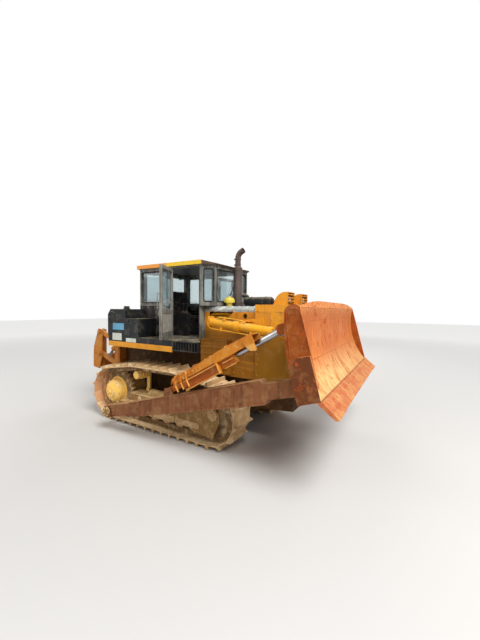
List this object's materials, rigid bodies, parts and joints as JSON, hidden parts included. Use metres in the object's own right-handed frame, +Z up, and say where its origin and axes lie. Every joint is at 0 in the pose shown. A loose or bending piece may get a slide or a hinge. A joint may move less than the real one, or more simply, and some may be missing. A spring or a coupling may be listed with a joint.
{
  "type": "bulldozer",
  "caption": "Crawler dozer with raised straight blade on push arms, tilt and lift cylinders, open doored cab, and rear parallelogram ripper.",
  "frame": {"origin": "on the ground under the middle of the machine's overall length and width", "axes": "+X forward towards the blade, +Y to the machine's left, +Z up"},
  "size_m": [6.4526, 3.724, 3.6668],
  "materials": {
    "frame_steel": "dusty dark brown paint",
    "engine_iron": "oily painted iron",
    "yellow_paint": "faded yellow paint, dusty and chipped",
    "black_paint": "satin black paint with dust",
    "cab_paint": "dusty black paint",
    "roof_paint": "yellow paint",
    "strip_paint": "orange yellow paint",
    "blade_steel": "rusty orange paint worn by soil",
    "edge_steel": "rust on worn steel",
    "arm_steel": "brown rust",
    "cylinder_paint": "yellow paint with rust",
    "chrome_rod": "polished",
    "track_steel": "worn steel with dried mud",
    "roller_paint": "muddy yellow paint",
    "radiator": "dark core",
    "exhaust_steel": "heat stained",
    "lamp": "lamp body and lens",
    "window_glass": "dusty clear glass",
    "seat_cloth": "worn dark cloth",
    "control_plastic": "dark plastic",
    "precleaner_plastic": "yellow plastic",
    "ripper_steel": "rusty orange paint"
  },
  "bodies": {
    "hull": {"main_frame": "frame_steel", "engine": "engine_iron", "engine_bonnet": "yellow_paint", "engine_side_panels": "yellow_paint", "radiator_guard": "yellow_paint", "radiator_core": "radiator", "front_grille": "yellow_paint", "lamp_guards": "yellow_paint", "head_lamps": "lamp", "exhaust_stack": "exhaust_steel", "precleaner": "precleaner_plastic", "air_cleaner": "black_paint", "cab_frame": "cab_paint", "cab_floor": "black_paint", "cab_glass": "window_glass", "cab_roof": "roof_paint", "seat_base": "control_plastic", "seat_cushion": "seat_cloth", "controls": "control_plastic", "fenders": "black_paint", "fender_strips": "strip_paint", "fuel_tank": "black_paint", "hydraulic_tank": "black_paint", "battery_boxes": "black_paint", "lift_yokes": "yellow_paint", "track_frames": "frame_steel", "track_right": "track_steel", "track_left": "track_steel", "sprockets": "track_steel", "final_drives": "roller_paint", "idlers": "track_steel", "track_rollers": "track_steel", "carrier_rollers": "roller_paint", "ripper_bracket": "ripper_steel"},
    "push_arm": {"push_arm_right": "arm_steel"},
    "blade": {"blade_moldboard": "blade_steel", "cutting_edge": "edge_steel", "push_arm_left": "arm_steel", "blade_brace": "cylinder_paint"},
    "lift_gimbal_right": {"lift_gimbal_right": "cylinder_paint"},
    "lift_barrel_right": {"lift_barrel_right": "cylinder_paint"},
    "lift_rod_right": {"lift_rod_right": "chrome_rod"},
    "lift_gimbal_left": {"lift_gimbal_left": "cylinder_paint"},
    "lift_barrel_left": {"lift_barrel_left": "cylinder_paint"},
    "lift_rod_left": {"lift_rod_left": "chrome_rod"},
    "tilt_barrel": {"tilt_cylinder_barrel": "cylinder_paint"},
    "tilt_rod": {"tilt_cylinder_rod": "chrome_rod"},
    "door_right": {"door_right": "cab_paint", "door_right_glass": "window_glass"},
    "door_left": {"door_left": "cab_paint", "door_left_glass": "window_glass"},
    "ripper_lower_links": {"ripper_lower_links": "ripper_steel"},
    "ripper_beam": {"ripper_beam": "ripper_steel", "ripper_shank": "edge_steel"},
    "ripper_upper_links": {"ripper_upper_links": "ripper_steel"},
    "ripper_barrels": {"ripper_cylinder_barrels": "cylinder_paint"},
    "ripper_rods": {"ripper_cylinder_rods": "chrome_rod"}
  },
  "joints": [
    {"name": "blade_lift", "type": "hinge", "parent": "hull", "child": "push_arm", "pos_m": [-1.1745, -1.59, 0.4], "axis": [0, -1, 0], "range_deg": [-22.1, 0.7]},
    {"name": "blade_tilt", "type": "hinge", "parent": "push_arm", "child": "blade", "pos_m": [2.59527, -1.59, 1.39951], "axis": [-0.7491, 0.6319, -0.1986], "range_deg": [-7, 7]},
    {"name": "tilt_barrel_swing", "type": "hinge", "parent": "push_arm", "child": "tilt_barrel", "pos_m": [0.40746, -1.59, 1.02479], "axis": [-0.4747, 0.2243, 0.8511], "range_deg": [-2.05, 2.05]},
    {"name": "tilt_rod_slide", "type": "slide", "parent": "tilt_barrel", "child": "tilt_rod", "axis": [0.8734, 0, 0.4871], "range_m": [-0.0609, 0.0609]},
    {"name": "door_right_hinge", "type": "hinge", "parent": "hull", "child": "door_right", "pos_m": [-0.3625, -0.822, 2.534], "axis": [0, 0, -1], "range_deg": [-63, 47]},
    {"name": "door_left_hinge", "type": "hinge", "parent": "hull", "child": "door_left", "pos_m": [-0.3625, 0.822, 2.534], "axis": [0, 0, 1], "range_deg": [-90, 20]},
    {"name": "ripper_lift", "type": "hinge", "parent": "hull", "child": "ripper_lower_links", "pos_m": [-2.2845, 0, 1.01], "axis": [0, 1, 0], "range_deg": [-48, 2]},
    {"name": "ripper_beam_level", "type": "hinge", "parent": "ripper_lower_links", "child": "ripper_beam", "pos_m": [-2.96108, 0, 1.25625], "axis": [0, 1, 0], "range_deg": [-3, 49]},
    {"name": "ripper_upper_swing", "type": "hinge", "parent": "hull", "child": "ripper_upper_links", "pos_m": [-2.2845, 0, 1.56], "axis": [0, 1, 0], "range_deg": [-49, 3]},
    {"name": "ripper_barrel_swing", "type": "hinge", "parent": "hull", "child": "ripper_barrels", "pos_m": [-2.2845, 0, 1.85], "axis": [0, 1, 0], "range_deg": [-17.52, 1.69]},
    {"name": "ripper_rod_slide", "type": "slide", "parent": "ripper_barrels", "child": "ripper_rods", "axis": [-0.6817, 0, -0.7317], "range_m": [-0.0232, 0.4658]},
    {"name": "lift_gimbal_right_turn", "type": "hinge", "parent": "hull", "child": "lift_gimbal_right", "pos_m": [1.2805, -0.72, 2.12], "axis": [0, 0, 1], "range_deg": [-3.24, 3.24]},
    {"name": "lift_barrel_right_swing", "type": "hinge", "parent": "lift_gimbal_right", "child": "lift_barrel_right", "pos_m": [1.2805, -0.865, 2.12], "axis": [0, -1, 0], "range_deg": [-43.34, 2.34]},
    {"name": "lift_rod_right_slide", "type": "slide", "parent": "lift_barrel_right", "child": "lift_rod_right", "axis": [0.9943, 0, -0.1062], "range_m": [-0.0377, 1.0383]},
    {"name": "lift_gimbal_left_turn", "type": "hinge", "parent": "hull", "child": "lift_gimbal_left", "pos_m": [1.2805, 0.72, 2.12], "axis": [0, 0, 1], "range_deg": [-3.24, 3.24]},
    {"name": "lift_barrel_left_swing", "type": "hinge", "parent": "lift_gimbal_left", "child": "lift_barrel_left", "pos_m": [1.2805, 0.865, 2.12], "axis": [0, -1, 0], "range_deg": [-43.34, 2.34]},
    {"name": "lift_rod_left_slide", "type": "slide", "parent": "lift_barrel_left", "child": "lift_rod_left", "axis": [0.9943, 0, -0.1062], "range_m": [-0.0377, 1.0383]}
  ],
  "couplings": [
    {"joint": "lift_gimbal_right_turn", "follows": "blade_tilt", "ratio": 0.42},
    {"joint": "lift_barrel_right_swing", "follows": "blade_lift", "ratio": 1.9159},
    {"joint": "lift_rod_right_slide", "follows": "blade_lift", "m_per_rad": -2.6789},
    {"joint": "lift_gimbal_left_turn", "follows": "blade_tilt", "ratio": 0.42},
    {"joint": "lift_barrel_left_swing", "follows": "blade_lift", "ratio": 1.9159},
    {"joint": "lift_rod_left_slide", "follows": "blade_lift", "m_per_rad": -2.6789},
    {"joint": "tilt_barrel_swing", "follows": "blade_tilt", "ratio": 0.26475},
    {"joint": "tilt_rod_slide", "follows": "blade_tilt", "m_per_rad": 0.46549},
    {"joint": "ripper_beam_level", "follows": "ripper_lift", "ratio": -1},
    {"joint": "ripper_upper_swing", "follows": "ripper_lift", "ratio": 1},
    {"joint": "ripper_barrel_swing", "follows": "ripper_lift", "ratio": 0.3442},
    {"joint": "ripper_rod_slide", "follows": "ripper_lift", "m_per_rad": -0.55123}
  ]
}
